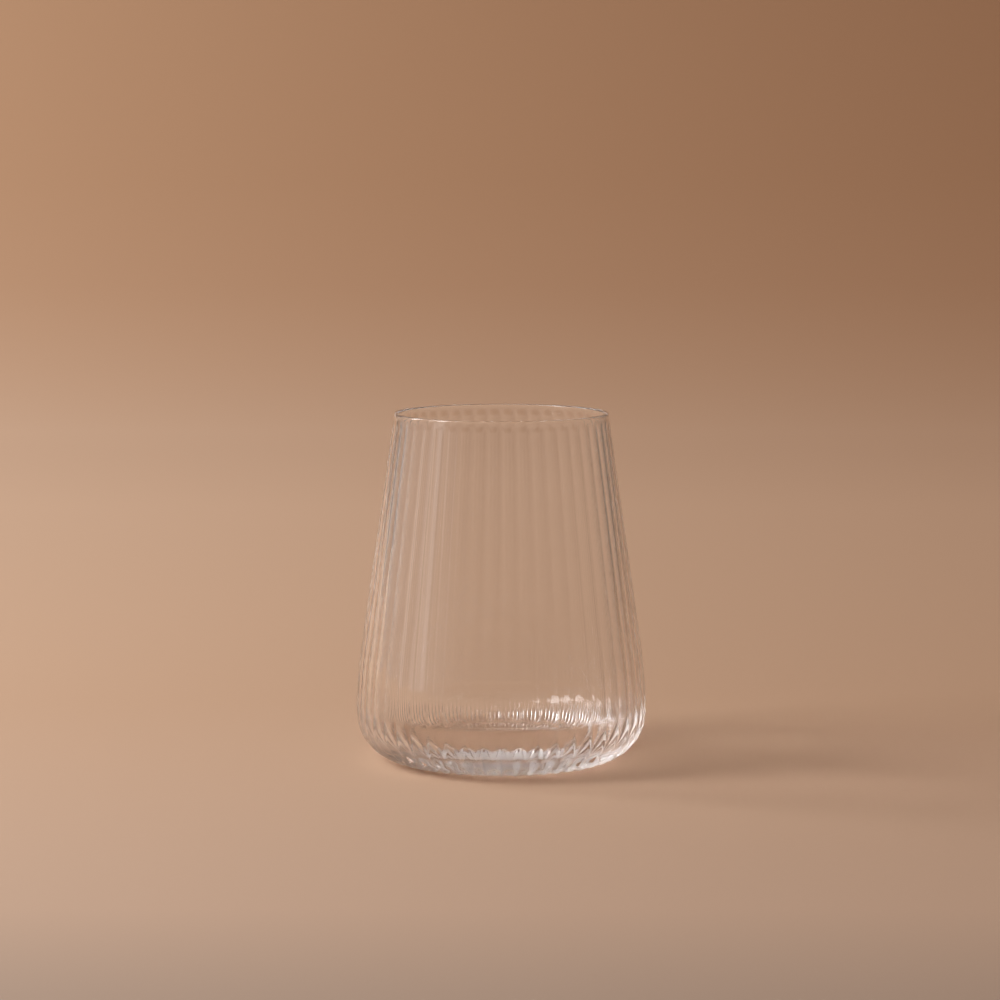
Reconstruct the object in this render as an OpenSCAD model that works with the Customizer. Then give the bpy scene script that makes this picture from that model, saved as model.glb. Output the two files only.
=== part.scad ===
// Fluted tea glass: a clear tumbler that narrows towards the lip, in its three zones of glass.
// The lip, the fluted wall and the base meet face to face on level seams, and the bottom centre is the origin.

/* [Glass] */
// Height from the table to the top of the lip
glass_h = 108; // [96:1:120]
// Outside diameter at the widest line, where the heel meets the wall
belly_d = 90; // [82:1:98]
// Outside diameter at the lip
lip_d = 66; // [60:1:74]

/* [Wall] */
// Radius of the bend that carries the widest line into the straight wall
bend_r = 140; // [90:5:160]
// Thickness of the wall along that bend
wall_t = 2.2; // [1.8:0.1:2.8]

/* [Lip] */
// Thickness of the glass at the lip
lip_t = 1; // [0.8:0.1:1.4]
// Height of the smooth fire-polished rim
lip_h = 1; // [0.8:0.1:3]

/* [Flutes] */
// Number of flutes round the glass
flute_count = 48; // [36:1:60]
// Depth of a flute at the widest line
flute_depth = 0.3; // [0.2:0.05:0.5]
// Depth of a flute where it is deepest, on the heel
heel_flute_depth = 1.4; // [0.6:0.1:1.6]
// Angle of the heel's turn over which the flutes deepen from the widest line down
flute_deepen_a = 50; // [30:5:70]
// Angle of the heel's turn over which the flutes run out at the foot
flute_fade_a = 25; // [20:5:70]
// Height over which the flutes run out below the rim
flute_fade_h = 3; // [1:0.5:10]

/* [Base] */
// Radius of the heel, the round lower edge
heel_r = 15; // [12:1:17]
// Thickness of the floor
floor_t = 7; // [5:0.5:10]
// Radius of the corner inside, between the floor and the wall
corner_r = 10; // [7:0.5:14]
// Width of the flat ring that the glass stands on
foot_w = 5; // [3:0.5:8]
// Depth of the hollow under the base
punt_h = 0.8; // [0.4:0.2:2]

/* [Hidden] */
$fn = 144;
glass_tint = [0.82, 0.8, 0.78, 0.5];

// Facets across a flute, and rings round the heel, the bend and the two run-outs
flute_steps = 6;
heel_steps = 12;
bend_steps = 4;
fade_steps = 4;

// How far a cut runs past the glass
overrun = 2;

// Outside: a foot ring, a round heel, a wide bend and a straight wall up to the lip
belly_r = belly_d / 2;
lip_r = lip_d / 2;
foot_r = belly_r - heel_r;
bend_mid_r = belly_r - bend_r;
bend_to_lip = [lip_r - bend_mid_r, glass_h - heel_r];
wall_a = atan2(bend_to_lip[1], bend_to_lip[0]) - acos(bend_r / norm(bend_to_lip));
bend_top_z = heel_r + bend_r * sin(wall_a);
lip_seam_z = glass_h - lip_h;
function wall_r(z) = lip_r + (glass_h - z) * tan(wall_a);

// Inside: a straight smooth wall, a bend about the same centre as the outside one, and a corner down to the floor
bore_lip_r = lip_r - lip_t;
bore_bend_r = bend_r - wall_t;
bend_to_bore = [bore_lip_r - bend_mid_r, glass_h - heel_r];
bore_a = atan2(bend_to_bore[1], bend_to_bore[0]) - acos(bore_bend_r / norm(bend_to_bore));
function bore_r(z) = bore_lip_r + (glass_h - z) * tan(bore_a);

// The corner touches the inside bend, or the straight wall where it reaches above that bend
corner_mid_z = floor_t + corner_r;
corner_a = asin((corner_mid_z - heel_r) / (bore_bend_r - corner_r));
corner_on_bend = corner_a < bore_a;
corner_mid_r = corner_on_bend
    ? bend_mid_r + (bore_bend_r - corner_r) * cos(corner_a)
    : bore_r(corner_mid_z) - corner_r / cos(bore_a);
corner_mid = [corner_mid_r, corner_mid_z];
corner_side = corner_on_bend
    ? [
        for (i = [0 : bend_steps])
            let (a = corner_a + (bore_a - corner_a) * i / bend_steps)
                [bend_mid_r + bore_bend_r * cos(a), heel_r + bore_bend_r * sin(a)]
    ]
    : [corner_mid + corner_r * [cos(bore_a), sin(bore_a)]];

// Rim: a full round between the two faces of the wall
rim_r = lip_t * cos(wall_a) / 2;
rim_mid_z = glass_h - rim_r;
rim_mid = [(wall_r(rim_mid_z) + bore_r(rim_mid_z)) / 2, rim_mid_z];
rim_side = rim_r * [cos(wall_a), sin(wall_a)];

// Punt: a shallow dome whose edge is the inner edge of the foot ring
punt_edge_r = foot_r - foot_w;
punt_r = (punt_edge_r * punt_edge_r + punt_h * punt_h) / (2 * punt_h);

// Flutes: hollow arcs that meet in sharp ridges, deepest on the heel and easing out at the lip and the foot
function ease(x) = let (t = min(1, max(0, x))) t * t * (3 - 2 * t);
function hollow(share) = 1 - pow(2 * share - 1, 2);
function heel_depth(a) =
    (flute_depth + (heel_flute_depth - flute_depth) * ease((90 - a) / flute_deepen_a)) * ease(a / flute_fade_a);
function heel_ring(a) =
    [foot_r + heel_r * sin(a), heel_r - heel_r * cos(a), heel_depth(a) * sin(a), heel_depth(a) * cos(a)];
function wall_ring(r, z, run_share) = [r, z, flute_depth * r / belly_r * run_share, 0];

heel_rings = [for (i = [0 : heel_steps]) heel_ring(90 * i / heel_steps)];

wall_rings = concat(
    [
        for (i = [0 : bend_steps])
            let (a = wall_a * i / bend_steps)
                wall_ring(bend_mid_r + bend_r * cos(a), heel_r + bend_r * sin(a), 1)
    ],
    [
        for (i = [0 : fade_steps])
            let (left_share = 1 - i / fade_steps, z = lip_seam_z - flute_fade_h * left_share)
                wall_ring(wall_r(z), z, ease(left_share))
    ]
);

// Solid loft through fluted rings, each given as the radius and height of its ridges, and how far its hollows go in
// and up from there
module fluted_loft(rings) {
    columns = flute_count * flute_steps;
    top = columns * (len(rings) - 1);
    bottom_mid = columns * len(rings);
    top_mid = bottom_mid + 1;
    points = [
        for (ring = rings, j = [0 : columns - 1])
            let (
                a = 360 * j / columns,
                cut_share = hollow(j % flute_steps / flute_steps),
                r = ring[0] - ring[2] * cut_share
            )
                [r * cos(a), r * sin(a), ring[1] + ring[3] * cut_share]
    ];
    mids = [[0, 0, rings[0][1]], [0, 0, rings[len(rings) - 1][1]]];
    sides = [
        for (low = [0 : columns : top - 1], j = [0 : columns - 1])
            let (next = (j + 1) % columns, high = low + columns)
                each [[low + j, high + j, low + next], [low + next, high + j, high + next]]
    ];
    ends = [
        for (j = [0 : columns - 1])
            let (next = (j + 1) % columns)
                each [[bottom_mid, j, next], [top_mid, top + next, top + j]]
    ];
    polyhedron(concat(points, mids), concat(sides, ends));
}

// Space inside the glass, from the floor to above the lip
module cavity() {
    top_z = glass_h + overrun;
    rotate_extrude() {
        polygon(concat(
            [[0, floor_t], [corner_mid_r, floor_t]],
            corner_side,
            [[bore_r(top_z), top_z], [0, top_z]]
        ));
        translate(corner_mid) circle(corner_r);
    }
}

// Hollow under the base
module punt() {
    translate([0, 0, punt_h - punt_r]) sphere(punt_r);
}

// Smooth fire-polished lip with a full round rim
module lip() {
    color(glass_tint)
        rotate_extrude() {
            polygon([
                [bore_r(lip_seam_z), lip_seam_z],
                [wall_r(lip_seam_z), lip_seam_z],
                rim_mid + rim_side,
                rim_mid - rim_side
            ]);
            translate(rim_mid) circle(rim_r);
        }
}

// Wall, fluted outside and smooth inside
module fluted_wall() {
    color(glass_tint)
        difference() {
            fluted_loft(wall_rings);
            cavity();
        }
}

// Thick base, with the fluted heel, the floor, the punt and the foot ring
module base() {
    color(glass_tint)
        difference() {
            fluted_loft(heel_rings);
            cavity();
            punt();
        }
}

lip();
fluted_wall();
base();
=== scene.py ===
"""Fluted tea glass: one seamless piece of clear glass on a tan sweep with painted shade and painted light,
lit by windows at its left.
"""

import math

import bpy
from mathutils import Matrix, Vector


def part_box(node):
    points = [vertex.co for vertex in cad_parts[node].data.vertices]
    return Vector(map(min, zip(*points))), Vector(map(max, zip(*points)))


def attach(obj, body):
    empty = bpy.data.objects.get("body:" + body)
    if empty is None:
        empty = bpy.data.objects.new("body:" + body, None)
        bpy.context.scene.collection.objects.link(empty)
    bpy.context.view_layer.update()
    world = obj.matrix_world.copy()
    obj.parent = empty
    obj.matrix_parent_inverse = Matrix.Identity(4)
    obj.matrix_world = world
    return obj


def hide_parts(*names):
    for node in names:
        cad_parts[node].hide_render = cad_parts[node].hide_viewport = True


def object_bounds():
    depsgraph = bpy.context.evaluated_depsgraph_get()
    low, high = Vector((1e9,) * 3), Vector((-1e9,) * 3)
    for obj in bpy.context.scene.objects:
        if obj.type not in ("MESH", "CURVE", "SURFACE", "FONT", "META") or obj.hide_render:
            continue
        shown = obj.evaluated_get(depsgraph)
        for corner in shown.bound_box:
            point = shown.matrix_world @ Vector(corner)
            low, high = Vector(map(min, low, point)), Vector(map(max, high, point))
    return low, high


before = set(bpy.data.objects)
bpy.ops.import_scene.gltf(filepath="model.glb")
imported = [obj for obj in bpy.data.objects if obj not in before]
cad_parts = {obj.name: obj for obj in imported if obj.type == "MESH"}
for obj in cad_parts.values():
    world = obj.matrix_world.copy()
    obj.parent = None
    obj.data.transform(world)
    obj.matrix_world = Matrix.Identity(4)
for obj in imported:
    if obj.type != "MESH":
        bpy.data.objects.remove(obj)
cad_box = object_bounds()

MM = 0.001

# Sizes that the frame gives: the height, the widest line, the heel and the seam under the smooth lip
base_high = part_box("base")[1]
lip_low, lip_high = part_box("lip")
GLASS_H = cad_box[1].z
BELLY_R = base_high.x
HEEL_R = base_high.z
LIP_SEAM_R = lip_high.x
LIP_SEAM_Z = lip_low.z

# Sizes that are inside a solid or on its surface
BEND_R = 140 * MM
WALL_T = 2.2 * MM
LIP_T = 1 * MM
FLOOR_T = 7 * MM
CORNER_R = 10 * MM
FOOT_W = 5 * MM
PUNT_H = 0.8 * MM

# Flutes: hollow arcs between sharp ridges, deepest on the heel
FLUTE_COUNT = 48
FLUTE_DEPTH = 0.3 * MM
HEEL_FLUTE_DEPTH = 1.4 * MM
FLUTE_DEEPEN_A = math.radians(50)
FLUTE_FADE_A = math.radians(25)
FLUTE_FADE_H = 3 * MM

# Mesh columns across a flute, and rows along each stretch of the outline
FLUTE_STEPS = 12
PUNT_ROWS = 12
FOOT_ROWS = 2
HEEL_ROWS = 48
BEND_ROWS = 12
WALL_ROWS = 12
FADE_ROWS = 8
RIM_ROWS = 12
CORNER_ROWS = 32
FLOOR_ROWS = 8

QUARTER = math.pi / 2


def ease(x):
    """Smooth step from 0 to 1."""
    t = min(1, max(0, x))
    return t * t * (3 - 2 * t)


def shares(rows):
    """Even shares from just above 0 up to 1."""
    return [i / rows for i in range(1, rows + 1)]


def tangent_angle(bend_r, mid, point):
    """Angle up a bend about mid at which the straight line to the point leaves it."""
    r, z = point[0] - mid[0], point[1] - mid[1]
    return math.atan2(z, r) - math.acos(bend_r / math.hypot(r, z))


def arc(mid, radius, start, end, rows):
    """Points along an arc, without its first one."""
    angles = [start + (end - start) * share for share in shares(rows)]
    return [(mid[0] + radius * math.cos(a), mid[1] + radius * math.sin(a)) for a in angles]


def line(start, end, rows):
    """Points along a straight line, without its first one."""
    return [
        (start[0] + (end[0] - start[0]) * share, start[1] + (end[1] - start[1]) * share)
        for share in shares(rows)
    ]


def smooth(points):
    """Rows of the mesh that have no flutes: radius, height, and no way in or up for a hollow."""
    return [(r, z, 0, 0) for r, z in points]


def heel_depth(a):
    """Depth of a flute on the heel, at an angle up from the foot."""
    deep = ease((QUARTER - a) / FLUTE_DEEPEN_A)
    return (FLUTE_DEPTH + (HEEL_FLUTE_DEPTH - FLUTE_DEPTH) * deep) * ease(a / FLUTE_FADE_A)


def heel_rows(foot_r):
    """Round heel, with its hollows cut square to the surface."""
    rows = []
    for share in shares(HEEL_ROWS):
        a = QUARTER * share
        depth = heel_depth(a)
        out, up = math.sin(a), math.cos(a)
        rows.append((foot_r + HEEL_R * out, HEEL_R - HEEL_R * up, depth * out, depth * up))
    return rows


def fluted(points, run=1):
    """Rows of the wall, whose flutes narrow and flatten with the glass."""
    return [(r, z, FLUTE_DEPTH * r / BELLY_R * run, 0) for r, z in points]


def outline():
    """Rows of the whole glass, from the middle of its underside round the outside and rim to its floor."""
    foot_r = BELLY_R - HEEL_R
    bend_mid = (BELLY_R - BEND_R, HEEL_R)
    lip_seam = (LIP_SEAM_R, LIP_SEAM_Z)
    wall_a = tangent_angle(BEND_R, bend_mid, lip_seam)
    wall_slope = math.tan(wall_a)

    punt_edge_r = foot_r - FOOT_W
    punt_r = (punt_edge_r**2 + PUNT_H**2) / (2 * PUNT_H)
    punt_edge_a = math.asin(punt_edge_r / punt_r)
    rows = smooth(arc((0, PUNT_H - punt_r), punt_r, QUARTER, QUARTER - punt_edge_a, PUNT_ROWS))
    rows += smooth(line((punt_edge_r, 0), (foot_r, 0), FOOT_ROWS))
    rows += heel_rows(foot_r)

    bend = arc(bend_mid, BEND_R, 0, wall_a, BEND_ROWS)
    fade_z = LIP_SEAM_Z - FLUTE_FADE_H
    fade = (LIP_SEAM_R + FLUTE_FADE_H * wall_slope, fade_z)
    rows += fluted(bend)
    rows += fluted(line(bend[-1], fade, WALL_ROWS))
    for share, point in zip(shares(FADE_ROWS), line(fade, lip_seam, FADE_ROWS)):
        rows += fluted([point], ease(1 - share))

    lip_r = LIP_SEAM_R - (GLASS_H - LIP_SEAM_Z) * wall_slope
    bore_lip = (lip_r - LIP_T, GLASS_H)
    bore_bend_r = BEND_R - WALL_T
    bore_a = tangent_angle(bore_bend_r, bend_mid, bore_lip)
    rim_r = LIP_T * math.cos(wall_a) / 2
    rim_z = GLASS_H - rim_r
    rim_mid = (lip_r - LIP_T / 2 + rim_r * wall_slope, rim_z)
    rows += smooth(arc(rim_mid, rim_r, wall_a, wall_a + math.pi, RIM_ROWS))

    corner_z = FLOOR_T + CORNER_R
    corner_a = math.asin((corner_z - HEEL_R) / (bore_bend_r - CORNER_R))
    corner_mid = (bend_mid[0] + (bore_bend_r - CORNER_R) * math.cos(corner_a), corner_z)
    bore_bend_top = arc(bend_mid, bore_bend_r, corner_a, bore_a, 1)[0]
    rows += smooth(line(rows[-1][:2], bore_bend_top, WALL_ROWS))
    rows += smooth(arc(bend_mid, bore_bend_r, bore_a, corner_a, BEND_ROWS))
    rows += smooth(arc(corner_mid, CORNER_R, corner_a, -QUARTER, CORNER_ROWS))
    floor_edge = (corner_mid[0], FLOOR_T)
    rows += smooth(line(floor_edge, (0, FLOOR_T), FLOOR_ROWS)[:-1])
    return rows


def lathe(name, rows, low_z, top_z):
    """Closed mesh of rows turned about the axis, with a hollow cut into each flute."""
    columns = FLUTE_COUNT * FLUTE_STEPS
    turns = []
    for j in range(columns):
        a = 2 * math.pi * j / columns
        cut = 1 - (2 * (j % FLUTE_STEPS) / FLUTE_STEPS - 1) ** 2
        turns.append((math.cos(a), math.sin(a), cut))
    verts = [
        ((r - inward * cut) * x, (r - inward * cut) * y, z + up * cut)
        for r, z, inward, up in rows
        for x, y, cut in turns
    ]
    last = columns * (len(rows) - 1)
    low, top = len(verts), len(verts) + 1
    verts += [(0, 0, low_z), (0, 0, top_z)]
    faces = []
    for j in range(columns):
        k = (j + 1) % columns
        faces.append((low, k, j))
        faces.append((top, last + j, last + k))
        faces += [(row + j, row + k, row + columns + k, row + columns + j) for row in range(0, last, columns)]
    mesh = bpy.data.meshes.new(name)
    mesh.from_pydata(verts, [], faces)
    mesh.shade_smooth()
    piece = bpy.data.objects.new(name, mesh)
    bpy.context.scene.collection.objects.link(piece)
    return piece


def new_material(name):
    """Node material with its tree and its shader."""
    made = bpy.data.materials.new(name)
    made.use_nodes = True
    return made, made.node_tree, made.node_tree.nodes["Principled BSDF"]


# Blown glass is slightly wavy, its polish is not quite even, and it takes a little light where it is thick
GLASS_COLOUR = (0.992, 0.99, 0.992, 1)
GLASS_IOR = 1.5
ABSORB_COLOUR = (0.5, 0.44, 0.42, 1)
ABSORB_DENSITY = 3
WAVE_SCALE = 220
WAVE_HEIGHT = 0.012 * MM
POLISH_SCALE = 60
POLISH_ROUGH = 0.03


def glass_material():
    """Clear glass with a faint waviness, an uneven polish and a faint tint in its depth."""
    made, tree, shader = new_material("clear_glass")
    shader.inputs["Base Color"].default_value = GLASS_COLOUR
    shader.inputs["IOR"].default_value = GLASS_IOR
    shader.inputs["Transmission Weight"].default_value = 1
    tint = tree.nodes.new("ShaderNodeVolumeAbsorption")
    tint.inputs["Color"].default_value = ABSORB_COLOUR
    tint.inputs["Density"].default_value = ABSORB_DENSITY
    tree.links.new(tint.outputs["Volume"], tree.nodes["Material Output"].inputs["Volume"])
    place = tree.nodes.new("ShaderNodeTexCoord")
    waves = tree.nodes.new("ShaderNodeTexNoise")
    waves.inputs["Scale"].default_value = WAVE_SCALE
    bump = tree.nodes.new("ShaderNodeBump")
    bump.inputs["Distance"].default_value = WAVE_HEIGHT
    patches = tree.nodes.new("ShaderNodeTexNoise")
    patches.inputs["Scale"].default_value = POLISH_SCALE
    polish = tree.nodes.new("ShaderNodeMapRange")
    polish.inputs["To Max"].default_value = POLISH_ROUGH
    tree.links.new(place.outputs["Object"], waves.inputs["Vector"])
    tree.links.new(waves.outputs["Fac"], bump.inputs["Height"])
    tree.links.new(bump.outputs["Normal"], shader.inputs["Normal"])
    tree.links.new(place.outputs["Object"], patches.inputs["Vector"])
    tree.links.new(patches.outputs["Fac"], polish.inputs["Value"])
    tree.links.new(polish.outputs["Result"], shader.inputs["Roughness"])
    return made


# The sweep: a floor that turns up into a backdrop far behind the glass
SWEEP_LEFT = -0.8
SWEEP_RIGHT = 0.75
SWEEP_FRONT = 2.5
SWEEP_BACK = 2.6
SWEEP_R = 1.6
SWEEP_H = 3.2
SWEEP_ROWS = 32
FLOOR_GAP = 0.2 * MM
# Colours of the paper at places along the sweep, by distance behind the glass: its tan, with painted shade
# that darkens the front edge and the top of the backdrop
PAPER_AND_PAINTED_SHADE = [
    (-0.285, (0.46, 0.34, 0.26, 1)),
    (-0.2, (0.57, 0.4, 0.29, 1)),
    (0.1, (0.59, 0.39, 0.26, 1)),
    (0.7, (0.7, 0.48, 0.33, 1)),
    (1.1, (0.7, 0.48, 0.33, 1)),
    (1.5, (0.59, 0.36, 0.22, 1)),
    (1.7, (0.57, 0.34, 0.2, 1)),
]
# Change of that colour for each metre to the right, as shares of its red, green and blue: painted light,
# paler towards the windows at the left and darker away from them
PAPER_MIDDLE = (1, 1, 1)
PAINTED_LIGHT_ACROSS = (-0.2, -0.28, -0.35)
PAPER_ROUGH = 0.85
PAPER_SPECULAR = 0.3


def paper_material():
    """Tan paper, with painted shade that makes it warmer and deeper up the backdrop and darker at the front
    edge, and painted light that makes it paler towards the windows.
    """
    made, tree, shader = new_material("tan_paper")
    shader.inputs["Roughness"].default_value = PAPER_ROUGH
    shader.inputs["Specular IOR Level"].default_value = PAPER_SPECULAR
    place = tree.nodes.new("ShaderNodeTexCoord")
    parts = tree.nodes.new("ShaderNodeSeparateXYZ")
    start, end = PAPER_AND_PAINTED_SHADE[0][0], PAPER_AND_PAINTED_SHADE[-1][0]
    # Painted shade along the sweep: the ramp darkens the paper at the front edge and up the backdrop
    run = tree.nodes.new("ShaderNodeMapRange")
    run.inputs["From Min"].default_value = start
    run.inputs["From Max"].default_value = end
    ramp = tree.nodes.new("ShaderNodeValToRGB")
    stops = ramp.color_ramp.elements
    while len(stops) < len(PAPER_AND_PAINTED_SHADE):
        stops.new(0)
    for stop, (far, colour) in zip(stops, PAPER_AND_PAINTED_SHADE):
        stop.position = (far - start) / (end - start)
        stop.color = colour
    tree.links.new(place.outputs["Object"], parts.inputs["Vector"])
    tree.links.new(parts.outputs["Y"], run.inputs["Value"])
    tree.links.new(run.outputs["Result"], ramp.inputs["Fac"])
    # Painted light across the sweep: the paper is painted paler towards the windows at the left and darker to
    # the right
    across = tree.nodes.new("ShaderNodeVectorMath")
    across.operation = "MULTIPLY_ADD"
    across.inputs[1].default_value = PAINTED_LIGHT_ACROSS
    across.inputs[2].default_value = PAPER_MIDDLE
    painted_light_tone = tree.nodes.new("ShaderNodeVectorMath")
    painted_light_tone.operation = "MULTIPLY"
    tree.links.new(parts.outputs["X"], across.inputs[0])
    tree.links.new(ramp.outputs["Color"], painted_light_tone.inputs[0])
    tree.links.new(across.outputs["Vector"], painted_light_tone.inputs[1])
    tree.links.new(painted_light_tone.outputs["Vector"], shader.inputs["Base Color"])
    return made


def sweep():
    """Floor and backdrop in one smooth sheet, just clear of the foot."""
    turn_y = SWEEP_BACK - SWEEP_R
    path = [(-SWEEP_FRONT, 0), (turn_y, 0)]
    path += arc((turn_y, SWEEP_R), SWEEP_R, -QUARTER, 0, SWEEP_ROWS)
    path.append((SWEEP_BACK, SWEEP_H))
    verts = [(x, y, z - FLOOR_GAP) for y, z in path for x in (SWEEP_LEFT, SWEEP_RIGHT)]
    faces = [(i, i + 1, i + 3, i + 2) for i in range(0, 2 * len(path) - 2, 2)]
    mesh = bpy.data.meshes.new("sweep")
    mesh.from_pydata(verts, [], faces)
    mesh.shade_smooth()
    mesh.materials.append(paper_material())
    sheet = bpy.data.objects.new("sweep", mesh)
    bpy.context.scene.collection.objects.link(sheet)
    return sheet


# The near window is high at the left, the far one lights the backdrop, and the side one is a narrow strip
NEAR_AT = (-0.75, -0.2, 0.74)
NEAR_AIM = (0, 0, 0.04)
NEAR_SIZE = (0.4, 0.6)
NEAR_LEVEL = 9
FAR_AT = (-1.9, 0.8, 1.1)
FAR_AIM = (-0.6, 2, 0.2)
FAR_SIZE = (1, 1)
FAR_LEVEL = 8
SIDE_AT = (-0.84, -0.32, 0.4)
SIDE_AIM = (0, 0, 0.4)
SIDE_SIZE = (0.2, 0.8)
SIDE_LEVEL = 0.75

# The room is dim, and paler towards the windows and the left of the ceiling
ROOM_DIM = (0.2, 0.14, 0.105, 1)
ROOM_PALE = (0.98, 0.95, 1, 1)
ROOM_LEFT = 0.32
ROOM_LEFT_FROM = -0.55
ROOM_LEFT_TO = -0.95
ROOM_UP_FROM = 0.3
ROOM_UP_TO = 0.7
CEILING_LEFT = 0.36
CEILING_RIGHT = 0
CEILING_FROM = -0.5
CEILING_TO = 0.2


def window(name, place, aim, size, level):
    """Soft lamp of even brightness, whose level counts white as 1."""
    lamp = bpy.data.lights.new(name, "AREA")
    lamp.shape = "RECTANGLE"
    lamp.size, lamp.size_y = size
    lamp.energy = level * math.pi * lamp.size * lamp.size_y
    made = bpy.data.objects.new(name, lamp)
    made.location = place
    made.rotation_euler = (Vector(aim) - Vector(place)).to_track_quat("-Z", "Y").to_euler()
    made.visible_camera = False
    bpy.context.scene.collection.objects.link(made)


def room():
    """Plain room that is paler towards the windows and the left of the ceiling."""
    world = bpy.data.worlds.new("room")
    world.use_nodes = True
    tree = world.node_tree
    dim = tree.nodes["Background"]
    dim.inputs["Color"].default_value = ROOM_DIM
    pale = tree.nodes.new("ShaderNodeBackground")
    pale.inputs["Color"].default_value = ROOM_PALE
    sum_of_both = tree.nodes.new("ShaderNodeAddShader")
    way = tree.nodes.new("ShaderNodeTexCoord")
    parts = tree.nodes.new("ShaderNodeSeparateXYZ")
    left = tree.nodes.new("ShaderNodeMapRange")
    left.interpolation_type = "SMOOTHSTEP"
    left.inputs["From Min"].default_value = ROOM_LEFT_FROM
    left.inputs["From Max"].default_value = ROOM_LEFT_TO
    left.inputs["To Max"].default_value = ROOM_LEFT
    up = tree.nodes.new("ShaderNodeMapRange")
    up.inputs["From Min"].default_value = ROOM_UP_FROM
    up.inputs["From Max"].default_value = ROOM_UP_TO
    ceiling = tree.nodes.new("ShaderNodeMapRange")
    ceiling.inputs["From Min"].default_value = CEILING_FROM
    ceiling.inputs["From Max"].default_value = CEILING_TO
    ceiling.inputs["To Min"].default_value = CEILING_LEFT
    ceiling.inputs["To Max"].default_value = CEILING_RIGHT
    both = tree.nodes.new("ShaderNodeMath")
    tree.links.new(way.outputs["Generated"], parts.inputs["Vector"])
    tree.links.new(parts.outputs["X"], left.inputs["Value"])
    tree.links.new(parts.outputs["X"], ceiling.inputs["Value"])
    tree.links.new(parts.outputs["Z"], up.inputs["Value"])
    tree.links.new(ceiling.outputs["Result"], up.inputs["To Max"])
    tree.links.new(left.outputs["Result"], both.inputs[0])
    tree.links.new(up.outputs["Result"], both.inputs[1])
    tree.links.new(both.outputs["Value"], pale.inputs["Strength"])
    tree.links.new(dim.outputs["Background"], sum_of_both.inputs[0])
    tree.links.new(pale.outputs["Background"], sum_of_both.inputs[1])
    tree.links.new(sum_of_both.outputs["Shader"], tree.nodes["World Output"].inputs["Surface"])
    bpy.context.scene.world = world


# The camera: about a metre in front, a little above the rim, looking slightly down
CAMERA_AT = (-0.0004, -1, 0.1919)
CAMERA_DOWN = math.radians(6.34)
CAMERA_LENS = 117
CAMERA_SENSOR = 36


def camera():
    """Camera at the photograph's viewing angle."""
    lens = bpy.data.cameras.new("camera")
    lens.sensor_width = CAMERA_SENSOR
    lens.lens = CAMERA_LENS
    made = bpy.data.objects.new("camera", lens)
    made.location = CAMERA_AT
    made.rotation_euler = (QUARTER - CAMERA_DOWN, 0, 0)
    bpy.context.scene.collection.objects.link(made)
    bpy.context.scene.camera = made


# Light takes many turns inside thick glass before it comes out
BOUNCES = 64

scene = bpy.context.scene
scene.view_settings.view_transform = "Standard"
scene.cycles.max_bounces = BOUNCES
scene.cycles.transmission_bounces = BOUNCES
scene.cycles.glossy_bounces = BOUNCES
scene.cycles.blur_glossy = 0

glass = lathe("glass", outline(), PUNT_H, FLOOR_T)
glass.data.materials.append(glass_material())
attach(glass, "root")
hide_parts("lip", "fluted_wall", "base")

sweep()
window("near_window", NEAR_AT, NEAR_AIM, NEAR_SIZE, NEAR_LEVEL)
window("far_window", FAR_AT, FAR_AIM, FAR_SIZE, FAR_LEVEL)
window("side_window", SIDE_AT, SIDE_AIM, SIDE_SIZE, SIDE_LEVEL)
room()
camera()
